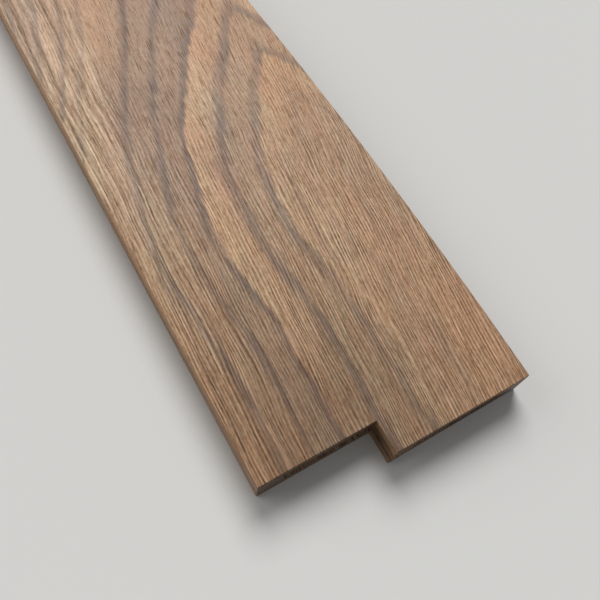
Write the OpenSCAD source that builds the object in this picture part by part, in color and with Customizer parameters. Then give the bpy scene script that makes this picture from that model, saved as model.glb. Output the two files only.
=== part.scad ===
// Flat wooden sheath that guards the blade of a kitchen knife.
//
// Three layers of walnut are glued face to face. The two outer layers are whole panels.
// The middle layer is a frame of three strips, and the space that it leaves is the blade slot.
// Magnets sunk into the lower panel hold the blade, each under a thin wooden plug.
//
// Axes: X runs along the blade and +X points out of the mouth, where the handle is.
// Y runs across the blade, from the spine side to the side of the cutting edge.
// Z is up. The sheath lies on its lower panel, and the origin is the centre of the box
// around it, on the surface that it lies on. All sizes are in millimetres.

/* [Outline] */
// Length over everything, from the nose to the end of the heel tongue
overall_length = 260; // [220:5:320]
// Width at the widest place
overall_width = 63; // [58:1:75]
// Length of the heel tongue beyond the step in the mouth
tongue_length = 7.5; // [4:0.5:15]
// Width of the step, from the spine side to the heel tongue
step_width = 27.5; // [18:0.5:36]
// Distance from the tongue's end back to the widest place
widest_from_end = 45.5; // [20:0.5:80]
// Radius of the long flat curve on the edge side
flat_curve_r = 1500; // [1000:50:3000]
// Distance from the tongue's end back to where the belly curve starts
belly_from_end = 128; // [100:1:140]
// Radius of the nose
nose_r = 12; // [8:0.5:16]

/* [Layers] */
// Thickness of the upper panel
upper_panel_t = 2.4; // [2:0.1:5]
// Thickness of the middle layer, which is the height of the blade slot
slot_t = 4.4; // [4.2:0.1:7]
// Thickness of the lower panel, which holds the magnets
lower_panel_t = 2.4; // [2.2:0.1:5]

/* [Frame strips] */
// Width of the strip along the spine
spine_rail_w = 6; // [4:0.5:10]
// Width of the strip along the cutting edge
edge_rail_w = 6.5; // [4:0.5:10]
// Length of the block in the nose
tip_block_l = 11; // [8:0.5:16]

/* [Magnets] */
// Number of magnets
magnet_count = 4; // [2:1:5]
// Diameter of a magnet
magnet_d = 10; // [6:0.5:12]
// Thickness of a magnet
magnet_t = 1; // [0.8:0.1:1.2]
// Thickness of the wooden plug over a magnet
plug_t = 0.8; // [0.4:0.1:0.8]
// Gap around a magnet and its plug, which the glue fills
glue_gap = 0.1; // [0.05:0.05:0.2]
// Distance between neighbouring magnets
magnet_pitch = 52; // [20:1:60]
// Distance from the step in the mouth back to the first magnet
first_magnet_x = 28; // [12:1:40]
// Distance from the slot's spine side to the centres of the magnets
magnet_y = 12; // [8:0.5:18]

/* [Hidden] */

// Colours of the oiled walnut and of the plated magnets
panel_colour = [0.47, 0.34, 0.24];
strip_colour = [0.40, 0.27, 0.18];
plug_colour = [0.52, 0.38, 0.27];
magnet_colour = [0.75, 0.75, 0.77];

// Facets of a whole circle where it is seen as a mesh
long_arc_facets = 1440;
small_arc_facets = 96;

// Ends and sides of the outline
end_x = overall_length / 2;
nose_x = -overall_length / 2;
step_x = end_x - tongue_length;
spine_y = -overall_width / 2;
widest_y = overall_width / 2;

// The long flat curve is tangent to the widest place
flat_centre = [end_x - widest_from_end, widest_y - flat_curve_r];

// The belly curve leaves the flat curve at a tangent
belly_x = end_x - belly_from_end;
belly_angle = asin((flat_centre.x - belly_x) / flat_curve_r);
belly_y = flat_centre.y + flat_curve_r * cos(belly_angle);

// The nose touches the spine and the nose end, and the belly curve is tangent to it
nose_centre = [nose_x + nose_r, spine_y + nose_r];
belly_run = belly_x - nose_centre.x;
belly_drop = belly_y - nose_centre.y;
belly_r = (pow(belly_run, 2) + pow(belly_drop, 2) - pow(nose_r, 2))
    / (2 * (belly_drop * cos(belly_angle) - belly_run * sin(belly_angle) - nose_r));
belly_centre = [belly_x + belly_r * sin(belly_angle), belly_y - belly_r * cos(belly_angle)];

// Heights of the layers
slot_floor_z = lower_panel_t;
slot_roof_z = lower_panel_t + slot_t;

// Sides of the slot
slot_spine_y = spine_y + spine_rail_w;
tip_block_x = nose_x + tip_block_l;

// Magnets and the pockets that they lie in, which open into the slot
pocket_r = magnet_d / 2 + glue_gap;
pocket_floor_z = slot_floor_z - plug_t - magnet_t;
function magnet_place(i) = [step_x - first_magnet_x - (i - 1) * magnet_pitch, slot_spine_y + magnet_y];

// A margin that takes a cut past the surface it starts from
over = 1;

// Everything on the spine's side of the edge curves, moved in by inset
module inside_edge(inset = 0) {
    intersection() {
        translate(flat_centre) circle(r = flat_curve_r - inset, $fn = long_arc_facets);
        translate([belly_x, spine_y]) square([belly_from_end, overall_width]);
    }
    intersection() {
        translate(belly_centre) circle(r = belly_r - inset, $fn = long_arc_facets);
        translate([nose_x, spine_y]) square([belly_x - nose_x, overall_width]);
    }
}

// The corner that the nose rounds off, out to well past the outline
module nose_corner() {
    reach = overall_width;
    to_belly = (nose_centre - belly_centre) / norm(nose_centre - belly_centre);
    polygon([
        nose_centre,
        nose_centre + reach * to_belly,
        nose_centre + [-reach, reach],
        nose_centre + [-reach, -reach],
        nose_centre + [0, -reach]
    ]);
}

// The whole outline seen from above, without the step in the mouth
module outline() {
    difference() {
        inside_edge();
        nose_corner();
    }
    translate(nose_centre) circle(r = nose_r, $fn = small_arc_facets);
}

// The space cut out of the mouth on the spine side
module mouth_step() {
    translate([step_x, spine_y - over]) square([tongue_length + over, step_width + over]);
}

// One whole layer of the sheath
module panel(thickness) {
    linear_extrude(thickness) difference() {
        outline();
        mouth_step();
    }
}

module lower_panel() {
    color(panel_colour) difference() {
        panel(lower_panel_t);
        for (i = [1 : magnet_count])
            translate([each magnet_place(i), pocket_floor_z])
                cylinder(r = pocket_r, h = lower_panel_t, $fn = small_arc_facets);
    }
}

module upper_panel() {
    color(panel_colour) translate([0, 0, slot_roof_z]) panel(upper_panel_t);
}

// Strip of the middle layer that closes the spine side
module spine_rail() {
    color(strip_colour) translate([tip_block_x, spine_y, slot_floor_z])
        cube([step_x - tip_block_x, spine_rail_w, slot_t]);
}

// Strip of the middle layer that follows the edge curves
module edge_rail() {
    color(strip_colour) translate([0, 0, slot_floor_z]) linear_extrude(slot_t) intersection() {
        difference() {
            inside_edge();
            inside_edge(edge_rail_w);
        }
        translate([tip_block_x, slot_spine_y]) square([end_x - tip_block_x, overall_width]);
    }
}

// Block of the middle layer that closes the nose
module tip_block() {
    color(strip_colour) translate([0, 0, slot_floor_z]) linear_extrude(slot_t) intersection() {
        outline();
        translate([nose_x - over, spine_y - over]) square([tip_block_l + over, overall_width]);
    }
}

module magnet(i) {
    color(magnet_colour) translate([each magnet_place(i), pocket_floor_z])
        cylinder(d = magnet_d, h = magnet_t, $fn = small_arc_facets);
}

// Wooden plug over a magnet, flush with the floor of the slot
module magnet_plug(i) {
    color(plug_colour) translate([each magnet_place(i), pocket_floor_z + magnet_t])
        cylinder(d = magnet_d, h = plug_t, $fn = small_arc_facets);
}

lower_panel();
spine_rail();
edge_rail();
tip_block();
upper_panel();
for (i = [1 : magnet_count])
    magnet(i);
for (i = [1 : magnet_count])
    magnet_plug(i);
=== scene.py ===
"""Looks of a flat walnut sheath that guards a kitchen knife's blade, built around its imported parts."""

import math
from dataclasses import dataclass

import bmesh
import bpy
from mathutils import Matrix, Vector


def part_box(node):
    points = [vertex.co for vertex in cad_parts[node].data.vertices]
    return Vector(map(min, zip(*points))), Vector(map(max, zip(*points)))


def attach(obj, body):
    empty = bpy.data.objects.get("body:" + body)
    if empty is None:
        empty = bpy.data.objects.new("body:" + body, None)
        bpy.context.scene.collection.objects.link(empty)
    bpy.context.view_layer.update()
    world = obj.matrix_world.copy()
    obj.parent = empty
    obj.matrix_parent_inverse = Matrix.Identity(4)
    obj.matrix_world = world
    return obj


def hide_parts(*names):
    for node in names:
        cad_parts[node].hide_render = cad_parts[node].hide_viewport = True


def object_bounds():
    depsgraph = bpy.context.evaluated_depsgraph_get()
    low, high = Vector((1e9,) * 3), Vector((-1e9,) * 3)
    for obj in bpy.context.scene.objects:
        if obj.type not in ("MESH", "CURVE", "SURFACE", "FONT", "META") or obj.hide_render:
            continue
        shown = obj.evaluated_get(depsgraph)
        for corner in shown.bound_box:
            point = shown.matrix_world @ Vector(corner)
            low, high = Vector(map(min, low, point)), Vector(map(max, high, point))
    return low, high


MM = 0.001

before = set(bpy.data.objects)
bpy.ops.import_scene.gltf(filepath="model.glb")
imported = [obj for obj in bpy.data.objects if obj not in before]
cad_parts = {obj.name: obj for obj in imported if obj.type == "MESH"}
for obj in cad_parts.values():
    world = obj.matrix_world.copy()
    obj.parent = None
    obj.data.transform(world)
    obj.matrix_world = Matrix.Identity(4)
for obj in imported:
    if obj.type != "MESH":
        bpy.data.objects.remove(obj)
cad_low, cad_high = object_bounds()

# Camera, placed as for the photograph
CAMERA_PLACE = Vector((142.0, -47.8, 142.1)) * MM
CAMERA_FORWARD = Vector((-0.3393, 0.2936, -0.8937))
CAMERA_UP = Vector((-0.7968, 0.4153, 0.4390))
SENSOR_MM = 36.0
PICTURE_PX = 600
FOCAL_PX = 680.2

# Studio
FLOOR_SIZE = 4.0
FLOOR_COLOUR = (0.66, 0.655, 0.64)
FLOOR_ROUGHNESS = 0.8
SKY_STRENGTH = 0.25
WINDOW_DIRECTION = Vector((-0.40, 0.20, 0.50)).normalized()
WINDOW_ANGLE = math.radians(35)
WINDOW_STRENGTH = 2.5
FILL_DIRECTION = Vector((-0.55, -0.60, 0.40)).normalized()
FILL_ANGLE = math.radians(50)
FILL_STRENGTH = 0.9

# Sanded edges
ARRIS_RADIUS = 0.22 * MM
ARRIS_SEGMENTS = 3
ARRIS_LEAST_ANGLE = math.radians(30)
SHARP_ANGLE = math.radians(40)
WELD_DISTANCE = 0.001 * MM
CORNER_GRID = 10 * WELD_DISTANCE
FLAT_ANGLE = math.radians(0.3)

# Walnut, as the light stretches of a ring and at full strength in the pores
WOOD_COLOUR = (0.365, 0.225, 0.126)
PORE_COLOUR = (0.120, 0.058, 0.020)
BLACK = (0, 0, 0)

# Powers by which green and blue follow the tone of the rings and of the fine lines, where red's is 1
GREEN_SHARE = 0.97
BLUE_SHARE = 0.74
LINE_GREEN_SHARE = 1.18
LINE_BLUE_SHARE = 1.45

# Redder wood loses this many times as much blue as green
BLUE_LOSS = 1.4

# Oiled surface of the wood
SPECULAR = 0.27
ROUGHNESS = 0.5
PORE_ROUGHNESS = 0.15
SLOW_ROUGHNESS = 0.8
FIBRE_HEIGHT = 0.5
BUMP_DISTANCE = 0.06 * MM

# Which way a face looks, from 0 to 1: where an effect begins and where it is full
BROAD_FACE = (0.3, 0.8)
SIDE_FACE = (0.5, 0.9)
END_FACE = (0.55, 0.95)
ARRIS_BEGINS = (0.1, 0.4)
ARRIS_ENDS = (0.93, 0.995)

# End grain, darker partly as painted shade, and glue lines, with heights in millimetres
END_GRAIN_AND_SHADE_TONE = 0.38
GLUE_LINE_TONE = 0.75
GLUE_LINE_HALF_WIDTH = 0.07
UPPER_FACE_Z = cad_high[2] / MM
GLUE_LINE_HEIGHTS = [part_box("lower_panel")[1][2] / MM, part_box("upper_panel")[0][2] / MM]

# Arched figure: the rings open towards the mouth, to both sides of the heart line
HEART_Y = 23.8
HEART_ROUNDING = 1.6
HEART_NEAREST = 5.2
HEART_PULL = 21.0
HEART_PULL_REACH = 5.0

# Shape of the arch, rounded from a fit to ring lines that were traced on the photograph
ARCH_X = 17.0
ARCH_REACH = 44.0
ARCH_STEP = 182.0
ARCH_START = 82.0
DIP_X = 85.0
DIP_REACH = 13.4
DIP_STEP = 50.0

# The ring coordinate grows with this power of the distance from the heart, and with the depth
RING_POWER = 1.5
RING_DEPTH_SLOPE = 19.0
RING_LOWEST = -240.0
RING_HIGHEST = 600.0

# Fibres: they run straight at FAN_Y and lean more and more with the distance from it
FAN_Y = -46.0
FAN_X = 100.0
FAN_REACH = 465.0

# Lines and streaks stand out most near the mouth and near the spine
MOUTH_CALM_X = -20.0
MOUTH_LIVELY_X = 80.0
SPINE_CALM_Y = -9.0
SPINE_LIVELY_Y = -23.0

# Painted shade: the board is painted darker towards the mouth, and towards the mouth's corner on the spine
# side, where the light falls off
MOUTH_PAINTED_SHADE_X = (0, 130)
MOUTH_PAINTED_SHADE = 0.12
CORNER_SLANT = 1.2
CORNER_PAINTED_SHADE_RANGE = (40, 170)
CORNER_PAINTED_SHADE = 0.12

# Painted light: the sides are painted a little darker, redder and less grey than the broad faces, standing
# in for the shade on the sides and the greying sheen on the broad faces
SIDE_PAINTED_SHADE = 0.05
SIDE_PAINTED_REDDER = 0.09
SIDE_PAINTED_LESS_GREY = 0.10

# Nickel, with faint clouds and fine scuffs, in millimetres
NICKEL_COLOUR = (0.72, 0.70, 0.66)
NICKEL_ROUGHNESS = 0.28
CLOUD_SIZE = 3
CLOUD_TONE = 0.04
CLOUD_ROUGHNESS = 0.05
SCUFF_WIDTH = 0.15
SCUFF_LENGTH = 2.5
SCUFF_TONE = 0.02
SCUFF_ROUGHNESS = 0.04
SCUFF_DEPTH = 0.005 * MM

# Noise nodes give values about 0.5, which are spread out to lie mostly between -1 and 1
NOISE_MIDDLE = 0.5
NOISE_SPREAD = 4.0

# Sockets of a mix node that carry colours
MIX_FIRST_COLOUR = 6
MIX_SECOND_COLOUR = 7
MIX_COLOUR_RESULT = 2


@dataclass
class Pattern:
    """Cloudy noise: length and width of its spots in millimetres, and how strong and how fine it is."""

    length: float
    width: float
    strength: float = 1.0
    detail: float = 2.0
    seed: float = 0.0


@dataclass
class Strength:
    """How strong an effect is in calm wood, and what is added where wood is lively and near the mouth."""

    calm: float
    lively: float = 0.0
    mouth: float = 0.0


# Fibres wander a little from their course
WANDERING = Pattern(length=30, width=9, strength=0.6, detail=1)

# Ring edges wave, and are feathered along the fibres
RING_WAVES = Pattern(length=30, width=7, strength=8.0)
RING_FEATHERS = Pattern(length=14, width=0.8)
FEATHER_STRENGTH = Strength(calm=3.0, mouth=8.0)

# Rings: gold that fades towards the mouth, dark that is stronger in patches, and dark wisps
RING_CONTRAST = 1.75
RING_BRIGHTNESS = 1.02
GOLD_FADES_X = (40, 125)
GOLD_FADING = 0.8
DARK_PATCHES = Pattern(length=22, width=9, detail=1, seed=57)
DARK_PATCH_RANGE = (-0.9, 0.7)
DARK_OUTSIDE_PATCHES = 0.65
DARK_ADDED_IN_PATCHES = 0.65
DARK_STRENGTH = Strength(calm=1.0, mouth=0.12)
WISPS = Pattern(length=34, width=2.2)
WISP_RANGE = (0.1, 1.0)
WISP_STRENGTH = Strength(calm=0.3, mouth=0.7)
WISP_DARKNESS = 0.18

# Fine lines: uneven fibres, and even lines of two spacings that take turns in patches
SHORT_FIBRES = Pattern(length=9, width=0.40, strength=0.23, detail=1)
LONG_FIBRES = Pattern(length=26, width=0.42, strength=0.16, detail=1)
LINE_PATCHES = Pattern(length=18, width=2.4)
LINE_PATCH_RANGE = (-0.7, 0.5)
WIDE_SPACING = 0.82
WIDE_LINES = 0.30
NARROW_SPACING = 0.64
NARROW_LINES = 0.52
LINE_STRENGTH = Strength(calm=0.4, mouth=0.6)
LINE_WAVE_LENGTH = 45
LINE_WAVE_SPACINGS = 4.0
LINE_WAVE_PHASE = 4.0

# Streaks and flecks
SPINE_STREAKS = Pattern(length=36, width=1.05, detail=1)
SPINE_STREAK_STRENGTH = Strength(calm=0.46, mouth=-0.14)
FIBRE_STRENGTH = Strength(calm=0.28, lively=0.70)
BROAD_STREAKS = Pattern(length=42, width=2.4, strength=0.08)
FLECKS = Pattern(length=1.8, width=0.34)
FLECK_STRENGTH = Strength(calm=0.15, lively=0.08)
CROSS_TEXTURE = Pattern(length=0.8, width=0.45)
CROSS_TEXTURE_STRENGTH = Strength(calm=0.12, lively=-0.06, mouth=0.13)

# Dark wood hides a share of the fine lines, and no line is darker than LINE_LEAST
DARK_TONE_RANGE = (0.55, 1.0)
HIDDEN_IN_DARK = Strength(calm=0.46, mouth=-0.30)
LINES_KEPT = 1.02
LINE_LEAST = 0.2

# Fibres on the sides, whose width is their height
SIDE_STREAKS = Pattern(length=16, width=0.6, strength=0.30, seed=11)
SIDE_FLECKS = Pattern(length=2.5, width=0.35, strength=0.16, seed=17)

# Pores: short dark dashes along the fibres
PORES = Pattern(length=6.0, width=0.2, detail=1)
PORE_RANGE = (0.3, 1.0)
PORE_STRENGTH = 0.55
PORES_LOST_ON_SIDES = 0.7

# Broad changes of tone, changes of hue, and the arrises, lighter partly from wear and partly as a painted
# highlight
SLOW_CHANGES = Pattern(length=60, width=24, strength=0.06, detail=1)
HUE_STREAKS = Pattern(length=24, width=5, strength=0.07, seed=31)
HUE_FLECKS = Pattern(length=4, width=1.2, strength=0.06, seed=37)
ARRIS_WEAR_AND_HIGHLIGHT_PATCHES = Pattern(length=7, width=7, strength=0.08, seed=43)
ARRIS_WEAR_AND_HIGHLIGHT = 0.10


@dataclass
class Ring:
    """A ring's edge on the ring coordinate: light up to it, dark just past it, then settled again."""

    edge: float
    light: float
    dark: float
    settling: float
    settled: float


RINGS = (
    Ring(edge=-185, light=1.06, dark=0.96, settling=20, settled=1.05),
    Ring(edge=-120, light=1.12, dark=0.80, settling=28, settled=1.02),
    Ring(edge=-56, light=1.03, dark=0.77, settling=34, settled=1.14),
    Ring(edge=24, light=1.20, dark=0.72, settling=22, settled=0.91),
    Ring(edge=92, light=0.93, dark=0.72, settling=24, settled=0.96),
    Ring(edge=160, light=0.96, dark=0.74, settling=34, settled=1.04),
    Ring(edge=280, light=1.14, dark=0.97, settling=20, settled=1.09),
    Ring(edge=328, light=1.10, dark=0.86, settling=26, settled=1.08),
    Ring(edge=392, light=1.10, dark=0.86, settling=30, settled=1.00),
    Ring(edge=462, light=1.04, dark=0.84, settling=34, settled=1.04),
)
RING_EDGE_HALF_WIDTH = 5.0
RING_FULL_TONE = 2.0


@dataclass
class Zone:
    """A broad soft patch of the board, in millimetres, that is lighter, redder or greyer than the rest."""

    x: float
    y: float
    reach_x: float
    reach_y: float
    lighter: float = 0.0
    redder: float = 0.0
    greyer: float = 0.0


ZONES = (
    Zone(x=117, y=-8, reach_x=22, reach_y=13, lighter=-0.19, redder=0.03),
    Zone(x=101, y=-15, reach_x=9, reach_y=7, lighter=0.06),
    Zone(x=110, y=24, reach_x=30, reach_y=9, lighter=0.10, redder=0.10),
    Zone(x=78, y=13, reach_x=26, reach_y=7, lighter=0.10),
    Zone(x=85, y=-3, reach_x=30, reach_y=6, lighter=-0.05),
    Zone(x=62, y=24, reach_x=16, reach_y=8, lighter=-0.12),
    Zone(x=62, y=-15, reach_x=15, reach_y=7, lighter=0.10),
    Zone(x=24, y=0, reach_x=12, reach_y=9, lighter=0.10),
    Zone(x=47, y=-2, reach_x=12, reach_y=8, lighter=-0.08),
    Zone(x=22, y=-14, reach_x=16, reach_y=7, lighter=-0.15),
    Zone(x=0, y=17, reach_x=24, reach_y=13, lighter=-0.11, redder=0.07),
    Zone(x=35, y=23, reach_x=30, reach_y=12, lighter=0.04, redder=0.05),
    Zone(x=5, y=-14, reach_x=60, reach_y=26, greyer=0.12),
    Zone(x=20, y=-28, reach_x=60, reach_y=9, lighter=0.05, redder=-0.08, greyer=0.04),
    Zone(x=76, y=-26, reach_x=24, reach_y=8, lighter=0.08, redder=0.02, greyer=-0.04),
    Zone(x=118, y=-28, reach_x=26, reach_y=10, lighter=-0.11, redder=0.11, greyer=-0.08),
    Zone(x=118, y=-8, reach_x=30, reach_y=20, greyer=-0.09),
)


@dataclass
class Board:
    """Where in the tree a piece was cut, as shifts in millimetres, and how light it is."""

    name: str
    slot: str
    shift_x: float
    shift_y: float
    seed: float
    tone: float


BOARDS = {
    "upper_panel": Board("walnut_upper", "walnut_panel", shift_x=0, shift_y=0, seed=0, tone=1.0),
    "lower_panel": Board("walnut_lower", "walnut_panel", shift_x=70, shift_y=-24, seed=210, tone=0.97),
    "spine_rail": Board("walnut_spine_strip", "walnut_strip", shift_x=0, shift_y=-30, seed=430, tone=0.94),
    "edge_rail": Board("walnut_edge_strip", "walnut_strip", shift_x=30, shift_y=-90, seed=610, tone=0.94),
    "tip_block": Board("walnut_nose_block", "walnut_strip", shift_x=-40, shift_y=-50, seed=830, tone=0.92),
}
PLUG_BOARD = Board("walnut_plug", "walnut_plug", shift_x=-60, shift_y=40, seed=990, tone=1.06)


class Field:
    """A number that varies over a surface. Arithmetic on fields adds math nodes to their material."""

    def __init__(self, graph, socket):
        self.graph = graph
        self.socket = socket

    def __add__(self, other):
        return self.graph.math("ADD", self, other)

    def __sub__(self, other):
        return self.graph.math("SUBTRACT", self, other)

    def __mul__(self, other):
        return self.graph.math("MULTIPLY", self, other)

    def __truediv__(self, other):
        return self.graph.math("DIVIDE", self, other)

    def __pow__(self, other):
        return self.graph.math("POWER", self, other)

    def __rsub__(self, other):
        return self.graph.math("SUBTRACT", other, self)

    __radd__ = __add__


class Graph:
    """One node material, with a short call for each kind of node that the surfaces need."""

    def __init__(self, name):
        self.material = bpy.data.materials.new(name)
        self.material.use_nodes = True
        self.nodes = self.material.node_tree.nodes
        self.links = self.material.node_tree.links
        self.shader = self.nodes["Principled BSDF"]

    def feed(self, socket, value):
        if isinstance(value, Field):
            self.links.new(value.socket, socket)
        else:
            socket.default_value = value

    def math(self, operation, *values):
        node = self.nodes.new("ShaderNodeMath")
        node.operation = operation
        for socket, value in zip(node.inputs, values):
            self.feed(socket, value)
        return Field(self, node.outputs[0])

    def coordinates(self, kind):
        """Three fields: the parts of one of the texture coordinates."""
        coordinates = self.nodes.new("ShaderNodeTexCoord")
        split = self.nodes.new("ShaderNodeSeparateXYZ")
        self.links.new(coordinates.outputs[kind], split.inputs[0])
        return [Field(self, output) for output in split.outputs]

    def place(self):
        """Three fields: the place in the part, in millimetres."""
        return [one / MM for one in self.coordinates("Object")]

    def facing(self):
        """Three fields: how much the surface looks along x, y and z, either way, from 0 to 1."""
        return [self.math("ABSOLUTE", one) for one in self.coordinates("Normal")]

    def vector(self, *values):
        node = self.nodes.new("ShaderNodeCombineXYZ")
        for socket, value in zip(node.inputs, values):
            self.feed(socket, value)
        return Field(self, node.outputs[0])

    def rise(self, value, low, high):
        """Goes smoothly from 0 at low to 1 at high."""
        node = self.nodes.new("ShaderNodeMapRange")
        node.interpolation_type = "SMOOTHSTEP"
        self.feed(node.inputs["Value"], value)
        self.feed(node.inputs["From Min"], low)
        self.feed(node.inputs["From Max"], high)
        return Field(self, node.outputs["Result"])

    def noise(self, place, detail=2.0):
        """Cloudy noise about 0, mostly between -1 and 1."""
        node = self.nodes.new("ShaderNodeTexNoise")
        self.feed(node.inputs["Vector"], place)
        node.inputs["Scale"].default_value = 1.0
        node.inputs["Detail"].default_value = detail
        return (Field(self, node.outputs[0]) - NOISE_MIDDLE) * NOISE_SPREAD

    def ramp(self, value, stops):
        """A curve through (place, height) stops, with places and heights from 0 to 1."""
        node = self.nodes.new("ShaderNodeValToRGB")
        node.color_ramp.interpolation = "EASE"
        elements = node.color_ramp.elements
        while len(elements) < len(stops):
            elements.new(1.0)
        for element, (place, height) in zip(elements, stops):
            element.position = place
            element.color = (height, height, height, 1)
        self.feed(node.inputs[0], value)
        return Field(self, node.outputs[0])

    def mix(self, factor, first, second):
        """Blends a field of colour into a plain colour, given as red, green and blue."""
        node = self.nodes.new("ShaderNodeMix")
        node.data_type = "RGBA"
        self.feed(node.inputs["Factor"], factor)
        self.feed(node.inputs[MIX_FIRST_COLOUR], first)
        self.feed(node.inputs[MIX_SECOND_COLOUR], (*second, 1))
        return Field(self, node.outputs[MIX_COLOUR_RESULT])

    def bump(self, height, distance):
        node = self.nodes.new("ShaderNodeBump")
        node.inputs["Distance"].default_value = distance
        self.feed(node.inputs["Height"], height)
        self.links.new(node.outputs[0], self.shader.inputs["Normal"])


class Wood:
    """A board's material, with the fields of places and faces that all its looks are worked out from."""

    def __init__(self, board):
        graph = Graph(board.name)
        self.graph = graph
        self.board = board
        self.part_x, self.part_y, self.part_z = graph.place()
        self.facing_x, self.facing_y, self.facing_z = graph.facing()
        self.broad_face = graph.rise(self.facing_z, *BROAD_FACE)
        self.side_face = graph.rise(self.facing_y, *SIDE_FACE)
        self.x = self.part_x + board.shift_x
        self.y = self.part_y + board.shift_y

        # Distance across the fibres
        spread = graph.math("EXPONENT", (self.x - FAN_X) / FAN_REACH)
        layer = self.part_z / WANDERING.width + board.seed
        wandering = self.noise(WANDERING, self.x, self.y, layer)
        self.across = (self.y - FAN_Y) * spread + wandering

        # The spine lies towards lower y, so y is turned round for its rise
        self.near_mouth = graph.rise(self.x, MOUTH_CALM_X, MOUTH_LIVELY_X)
        self.near_spine = graph.rise(0.0 - self.y, -SPINE_CALM_Y, -SPINE_LIVELY_Y)
        self.liveliness = graph.math("MAXIMUM", self.near_mouth, self.near_spine)

    def noise(self, pattern, along, across, layer):
        """Noise of a pattern over two fields in millimetres, on a layer of the noise."""
        place = self.graph.vector(along / pattern.length, across / pattern.width, layer)
        return self.graph.noise(place, pattern.detail) * pattern.strength

    def streaks(self, pattern):
        """Noise drawn out along the fibres."""
        layer = self.part_z / pattern.width + self.board.seed
        return self.noise(pattern, self.x, self.across, layer)

    def spots(self, pattern, along, across):
        """Noise over two fields in millimetres, unchanged in the third direction."""
        return self.noise(pattern, along, across, self.board.seed + pattern.seed)

    def strength(self, one):
        """A Strength's value at each place."""
        total = one.calm
        if one.lively:
            total = self.liveliness * one.lively + total
        if one.mouth:
            total = self.near_mouth * one.mouth + total
        return total


def ring_coordinate(wood):
    """Grows outwards through the rings, so that each ring is a line of equal value on any cut."""
    graph = wood.graph
    from_line = (wood.y - HEART_Y) * (wood.y - HEART_Y)
    from_heart = graph.math("SQRT", from_line + HEART_ROUNDING**2) + (HEART_NEAREST - HEART_ROUNDING)
    pull = graph.math("EXPONENT", from_line * (-1 / HEART_PULL_REACH**2)) * HEART_PULL
    arch = graph.math("TANH", (wood.x - ARCH_X) / ARCH_REACH) * ARCH_STEP + ARCH_START
    dip = (graph.math("TANH", (wood.x - DIP_X) / DIP_REACH) + 1.0) * (DIP_STEP / 2)
    depth = UPPER_FACE_Z - wood.part_z
    return from_heart ** RING_POWER - pull - arch + dip + depth * RING_DEPTH_SLOPE


def ring_tone(graph, ring):
    """Tone of the wood, 1 at its middle, from the ring coordinate."""
    stops = []
    for one in RINGS:
        stops.append((one.edge - RING_EDGE_HALF_WIDTH, one.light))
        stops.append((one.edge + RING_EDGE_HALF_WIDTH, one.dark))
        stops.append((one.edge + one.settling, one.settled))
    span = RING_HIGHEST - RING_LOWEST
    scaled = [((place - RING_LOWEST) / span, tone / RING_FULL_TONE) for place, tone in stops]
    inside = graph.math("PINGPONG", (ring - RING_LOWEST) / span, 1.0)
    return graph.ramp(inside, scaled) * RING_FULL_TONE


def figure(wood):
    """Tone of the rings: gold before an edge and dark past it, with dark wisps along the fibres."""
    graph = wood.graph
    feathers = wood.streaks(RING_FEATHERS) * wood.strength(FEATHER_STRENGTH)
    ring = ring_coordinate(wood) + wood.streaks(RING_WAVES) + feathers
    level = ring_tone(graph, ring) - 1.0
    gold = graph.math("MAXIMUM", level, 0.0) * (1.0 - graph.rise(wood.x, *GOLD_FADES_X) * GOLD_FADING)
    in_patches = graph.rise(wood.spots(DARK_PATCHES, wood.x, wood.y), *DARK_PATCH_RANGE)
    dark = graph.math("MINIMUM", level, 0.0) * (in_patches * DARK_ADDED_IN_PATCHES + DARK_OUTSIDE_PATCHES)
    dark = dark * wood.strength(DARK_STRENGTH)
    wisps = graph.rise(wood.streaks(WISPS), *WISP_RANGE) * wood.strength(WISP_STRENGTH)
    contrast = (gold + dark + 1.0) ** RING_CONTRAST
    return contrast * (RING_BRIGHTNESS - wisps * WISP_DARKNESS) * wood.board.tone


def even_lines(wood, spacing):
    """Lines along the fibres at an even spacing, which waver a little, from -1 to 1."""
    waves = Pattern(LINE_WAVE_LENGTH, LINE_WAVE_SPACINGS * spacing, strength=LINE_WAVE_PHASE, detail=1)
    return wood.graph.math("SINE", wood.across * (math.tau / spacing) + wood.streaks(waves))


def fine_lines(wood, tone):
    """Fibres, lines, streaks and flecks, as the share by which they change the tone."""
    graph = wood.graph
    patches = graph.rise(wood.streaks(LINE_PATCHES), *LINE_PATCH_RANGE)
    line_strength = wood.broad_face * wood.strength(LINE_STRENGTH)
    fine = wood.streaks(SHORT_FIBRES) + wood.streaks(LONG_FIBRES)
    fine = fine + even_lines(wood, WIDE_SPACING) * (patches * WIDE_LINES) * line_strength
    fine = fine + even_lines(wood, NARROW_SPACING) * ((1.0 - patches) * NARROW_LINES) * line_strength
    fine = fine + wood.streaks(SPINE_STREAKS) * wood.near_spine * wood.strength(SPINE_STREAK_STRENGTH)
    fine = fine * wood.strength(FIBRE_STRENGTH) + wood.streaks(BROAD_STREAKS)
    fine = fine + wood.streaks(FLECKS) * wood.strength(FLECK_STRENGTH)
    fine = fine + wood.streaks(CROSS_TEXTURE) * wood.strength(CROSS_TEXTURE_STRENGTH)
    hidden = (1.0 - graph.rise(tone, *DARK_TONE_RANGE)) * wood.strength(HIDDEN_IN_DARK)
    fine = fine * (LINES_KEPT - hidden)

    # On the sides the fibres follow the outline
    on_sides = wood.spots(SIDE_STREAKS, wood.x, wood.part_z) + wood.spots(SIDE_FLECKS, wood.x, wood.part_z)
    return fine * (1.0 - wood.side_face) + on_sides * wood.side_face


def pores(wood):
    """Short dashes along the fibres, from 0 to 1, fewer on the sides."""
    layer = wood.part_z / PORES.width - wood.board.seed
    dashes = wood.noise(PORES, wood.x, wood.across, layer)
    return wood.graph.rise(dashes, *PORE_RANGE) * (1.0 - wood.side_face * PORES_LOST_ON_SIDES)


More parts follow.
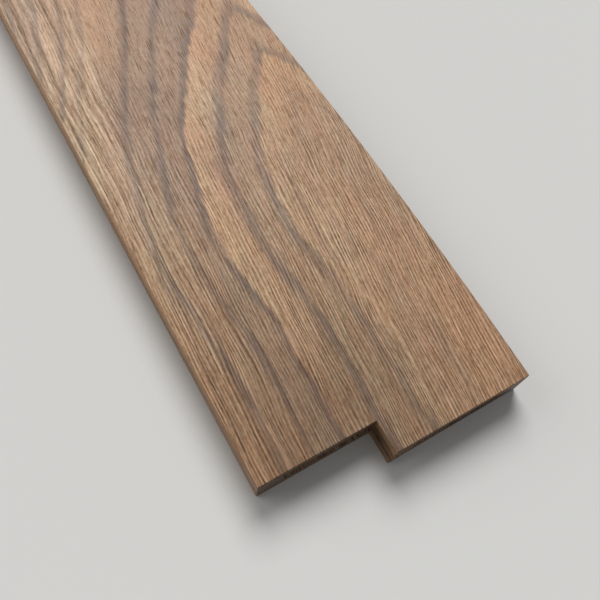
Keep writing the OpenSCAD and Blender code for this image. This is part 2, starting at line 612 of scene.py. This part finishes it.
def zone_shares(wood):
    """How much lighter, redder and greyer than the rest the board is at a place, with the sides' painted
    shade and colour added.
    """
    lighter = redder = greyer = 0.0
    for zone in ZONES:
        along = (wood.x - zone.x) / zone.reach_x
        across = (wood.y - zone.y) / zone.reach_y
        nearness = wood.graph.math("EXPONENT", 0.0 - (along * along + across * across))
        lighter = nearness * zone.lighter + lighter
        redder = nearness * zone.redder + redder
        greyer = nearness * zone.greyer + greyer
    # Painted light: the sides are painted darker, redder and less grey, standing in for their shade and
    # for the sheen that greys the broad faces
    lighter = lighter - wood.side_face * SIDE_PAINTED_SHADE
    redder = redder + wood.side_face * SIDE_PAINTED_REDDER
    greyer = greyer - wood.side_face * SIDE_PAINTED_LESS_GREY
    return lighter, redder, greyer


def worn_and_highlit_arrises(wood):
    """Factor by which the sanded arrises are lighter, partly from wear and partly as a painted highlight,
    here more and there less.
    """
    graph = wood.graph
    arris = graph.rise(wood.facing_z, *ARRIS_BEGINS) * (1.0 - graph.rise(wood.facing_z, *ARRIS_ENDS))
    wear_and_highlight_share = wood.spots(ARRIS_WEAR_AND_HIGHLIGHT_PATCHES, wood.part_x, wood.part_y) + ARRIS_WEAR_AND_HIGHLIGHT
    return arris * wear_and_highlight_share + 1.0


def heartwood(wood, tone, fine, slow):
    """Colour of the wood between its pores, with painted shade towards the mouth and its spine-side
    corner, the sides' painted shade and colour, and arrises lighter from wear and from a painted
    highlight.
    """
    graph = wood.graph
    # Painted shade: darker towards the mouth and towards the mouth's corner on the spine side
    corner = graph.rise(wood.x - wood.y * CORNER_SLANT, *CORNER_PAINTED_SHADE_RANGE) * CORNER_PAINTED_SHADE
    painted_shade = corner + graph.rise(wood.x, *MOUTH_PAINTED_SHADE_X) * MOUTH_PAINTED_SHADE
    lighter, redder, greyer = zone_shares(wood)
    level = tone * (1.0 + slow - painted_shade + lighter)
    redness = wood.spots(HUE_STREAKS, wood.x, wood.across)
    redness = redness + wood.spots(HUE_FLECKS, wood.x, wood.across) + redder
    line = graph.math("MAXIMUM", 1.0 + fine, LINE_LEAST)
    # Arrises lighter partly from wear and partly as a painted highlight
    wear_and_highlight = worn_and_highlit_arrises(wood)
    red, green, blue = WOOD_COLOUR
    return graph.vector(
        level * line * wear_and_highlight * red,
        level ** GREEN_SHARE * line ** LINE_GREEN_SHARE * wear_and_highlight * green * (1.0 - redness),
        level ** BLUE_SHARE * line ** LINE_BLUE_SHARE * wear_and_highlight * blue * (1.0 + greyer - redness * BLUE_LOSS),
    )


def walnut(board):
    """Oiled walnut: rings, fibres, pores, end grain and glue lines, with painted shade and a painted
    highlight, all worked out from the place.
    """
    wood = Wood(board)
    graph = wood.graph
    tone = figure(wood)
    fine = fine_lines(wood, tone)
    pore = pores(wood)
    slow = wood.spots(SLOW_CHANGES, wood.x, wood.y)
    colour = heartwood(wood, tone, fine, slow)
    colour = graph.mix(pore * PORE_STRENGTH, colour, PORE_COLOUR)

    # End grain drinks more oil and is darker, and its darkening also holds painted shade on the end faces
    end_grain_and_shade = graph.rise(wood.facing_x, *END_FACE)
    colour = graph.mix(end_grain_and_shade * (1.0 - END_GRAIN_AND_SHADE_TONE), colour, BLACK)

    # Glue lines show on the sides only
    for joint in GLUE_LINE_HEIGHTS:
        gap = graph.math("ABSOLUTE", wood.part_z - joint)
        glue = (1.0 - graph.rise(gap, 0.0, GLUE_LINE_HALF_WIDTH)) * (1.0 - wood.broad_face)
        colour = graph.mix(glue * (1.0 - GLUE_LINE_TONE), colour, BLACK)

    roughness = pore * PORE_ROUGHNESS + slow * SLOW_ROUGHNESS + ROUGHNESS
    graph.feed(graph.shader.inputs["Base Color"], colour)
    graph.feed(graph.shader.inputs["Roughness"], roughness)
    graph.shader.inputs["Specular IOR Level"].default_value = SPECULAR
    graph.bump(fine * FIBRE_HEIGHT - pore, BUMP_DISTANCE)
    return graph.material


def nickel():
    """Nickel plating of the magnets: bright, with faint clouds and fine scuffs."""
    graph = Graph("nickel")
    x, y, z = graph.place()
    clouds = graph.noise(graph.vector(x / CLOUD_SIZE, y / CLOUD_SIZE, z / CLOUD_SIZE))
    scuffs = graph.noise(graph.vector(x / SCUFF_WIDTH, y / SCUFF_LENGTH, z / SCUFF_WIDTH))
    tone = clouds * CLOUD_TONE + scuffs * SCUFF_TONE + 1.0
    roughness = clouds * CLOUD_ROUGHNESS + scuffs * SCUFF_ROUGHNESS + NICKEL_ROUGHNESS
    red, green, blue = NICKEL_COLOUR
    graph.feed(graph.shader.inputs["Base Color"], graph.vector(tone * red, tone * green, tone * blue))
    graph.feed(graph.shader.inputs["Roughness"], roughness)
    graph.shader.inputs["Metallic"].default_value = 1.0
    graph.bump(scuffs, SCUFF_DEPTH)
    return graph.material


def dress(name, material):
    """Gives a CAD node that keeps its shape its material."""
    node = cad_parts[name]
    node.data.materials.clear()
    node.data.materials.append(material)


def upright_corners(mesh):
    """Places, seen from above, of the upright edges where the outline turns a corner."""
    corners = set()
    for edge in mesh.edges:
        start, end = (vertex.co for vertex in edge.verts)
        if (end - start).xy.length < WELD_DISTANCE and is_convex(edge):
            corners.add(corner_key(start))
    return corners


def corner_key(place):
    return round(place.x / CORNER_GRID), round(place.y / CORNER_GRID)


def is_convex(edge):
    return len(edge.link_faces) == 2 and edge.calc_face_angle_signed() > ARRIS_LEAST_ANGLE


def welded(node):
    """The node's mesh with its corners joined and its flat faces whole."""
    mesh = bmesh.new()
    mesh.from_mesh(node.data)
    bmesh.ops.remove_doubles(mesh, verts=mesh.verts, dist=WELD_DISTANCE)
    mesh.normal_update()
    bmesh.ops.dissolve_limit(mesh, angle_limit=FLAT_ANGLE, verts=mesh.verts, edges=mesh.edges)
    mesh.normal_update()
    return mesh


def softened(name, board, corners):
    """A copy of a wooden node with its outer edges sanded round, which stands for the node."""
    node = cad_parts[name]
    mesh = welded(node)

    def is_arris(edge):
        if not is_convex(edge):
            return False
        start, end = (vertex.co for vertex in edge.verts)
        if (end - start).xy.length < WELD_DISTANCE:
            return corner_key(start) in corners
        return any(
            max(abs(start.z - face), abs(end.z - face)) < WELD_DISTANCE
            for face in (cad_low[2], cad_high[2])
        )

    edges = [edge for edge in mesh.edges if is_arris(edge)]
    bmesh.ops.bevel(
        mesh,
        geom=edges,
        offset=ARRIS_RADIUS,
        offset_type="OFFSET",
        segments=ARRIS_SEGMENTS,
        profile=0.5,
        affect="EDGES",
        clamp_overlap=True,
    )
    mesh.normal_update()
    for edge in mesh.edges:
        edge.smooth = edge.calc_face_angle(0.0) < SHARP_ANGLE
    for face in mesh.faces:
        face.smooth = True
    data = bpy.data.meshes.new(f"{name}_wood")
    mesh.to_mesh(data)
    mesh.free()
    piece = bpy.data.objects.new(f"{name}_wood", data)
    bpy.context.scene.collection.objects.link(piece)
    weighted = piece.modifiers.new("weighted normals", "WEIGHTED_NORMAL")
    weighted.keep_sharp = True
    data.materials.append(walnut(board))
    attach(piece, "root")
    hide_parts(name)


def make_camera():
    """The camera looks along CAMERA_FORWARD with CAMERA_UP towards the top of the picture."""
    data = bpy.data.cameras.new("camera")
    data.sensor_width = SENSOR_MM
    data.lens = FOCAL_PX * SENSOR_MM / PICTURE_PX
    camera = bpy.data.objects.new("camera", data)
    back = -CAMERA_FORWARD.normalized()
    right = CAMERA_UP.cross(back).normalized()
    up = back.cross(right)
    turn = Matrix((right, up, back)).transposed().to_4x4()
    camera.matrix_world = Matrix.Translation(CAMERA_PLACE) @ turn
    bpy.context.scene.collection.objects.link(camera)
    bpy.context.scene.camera = camera


def make_floor():
    """A plain square floor that the sheath lies on."""
    half = FLOOR_SIZE / 2
    corners = [(-half, -half, 0), (half, -half, 0), (half, half, 0), (-half, half, 0)]
    mesh = bpy.data.meshes.new("floor")
    mesh.from_pydata(corners, [], [(0, 1, 2, 3)])
    floor = bpy.data.objects.new("floor", mesh)
    material = bpy.data.materials.new("floor")
    material.use_nodes = True
    shader = material.node_tree.nodes["Principled BSDF"]
    shader.inputs["Base Color"].default_value = (*FLOOR_COLOUR, 1)
    shader.inputs["Roughness"].default_value = FLOOR_ROUGHNESS
    shader.inputs["Specular IOR Level"].default_value = 0.0
    mesh.materials.append(material)
    bpy.context.scene.collection.objects.link(floor)


def light_on_floor():
    """How bright a white floor would be in the open, where 1 is white."""
    from_lamps = WINDOW_DIRECTION.z * WINDOW_STRENGTH + FILL_DIRECTION.z * FILL_STRENGTH
    return SKY_STRENGTH + from_lamps / math.pi


def make_world():
    """Even soft light, and a backdrop as pale as the floor wherever it is seen or mirrored."""
    world = bpy.data.worlds.new("studio")
    bpy.context.scene.world = world
    world.use_nodes = True
    nodes = world.node_tree.nodes
    links = world.node_tree.links
    light = nodes["Background"]
    light.inputs["Color"].default_value = (1, 1, 1, 1)
    light.inputs["Strength"].default_value = SKY_STRENGTH
    backdrop = nodes.new("ShaderNodeBackground")
    backdrop.inputs["Color"].default_value = (*FLOOR_COLOUR, 1)
    backdrop.inputs["Strength"].default_value = light_on_floor()
    rays = nodes.new("ShaderNodeLightPath")
    seen = rays.outputs["Is Camera Ray"]
    for other in ("Is Glossy Ray", "Is Transmission Ray"):
        either = nodes.new("ShaderNodeMath")
        either.operation = "MAXIMUM"
        links.new(seen, either.inputs[0])
        links.new(rays.outputs[other], either.inputs[1])
        seen = either.outputs[0]
    chosen = nodes.new("ShaderNodeMixShader")
    links.new(seen, chosen.inputs[0])
    links.new(light.outputs[0], chosen.inputs[1])
    links.new(backdrop.outputs[0], chosen.inputs[2])
    links.new(chosen.outputs[0], nodes["World Output"].inputs["Surface"])


def add_lamp(name, direction, angle, strength):
    """A soft lamp, far away in a direction, so that it lights the whole floor alike."""
    data = bpy.data.lights.new(name, "SUN")
    data.angle = angle
    data.energy = strength
    lamp = bpy.data.objects.new(name, data)
    lamp.location = direction
    lamp.rotation_mode = "QUATERNION"
    lamp.rotation_quaternion = (-direction).to_track_quat("-Z", "Y")
    bpy.context.scene.collection.objects.link(lamp)


make_camera()
make_floor()
make_world()
add_lamp("window", WINDOW_DIRECTION, WINDOW_ANGLE, WINDOW_STRENGTH)
add_lamp("fill", FILL_DIRECTION, FILL_ANGLE, FILL_STRENGTH)

outline_mesh = welded(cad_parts["upper_panel"])
outline_corners = upright_corners(outline_mesh)
outline_mesh.free()
for name, board in BOARDS.items():
    softened(name, board, outline_corners)

plug_material = walnut(PLUG_BOARD)
magnet_material = nickel()
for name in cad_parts:
    if name.startswith("magnet_plug"):
        dress(name, plug_material)
    elif name.startswith("magnet"):
        dress(name, magnet_material)

bpy.context.scene.view_settings.view_transform = "Standard"
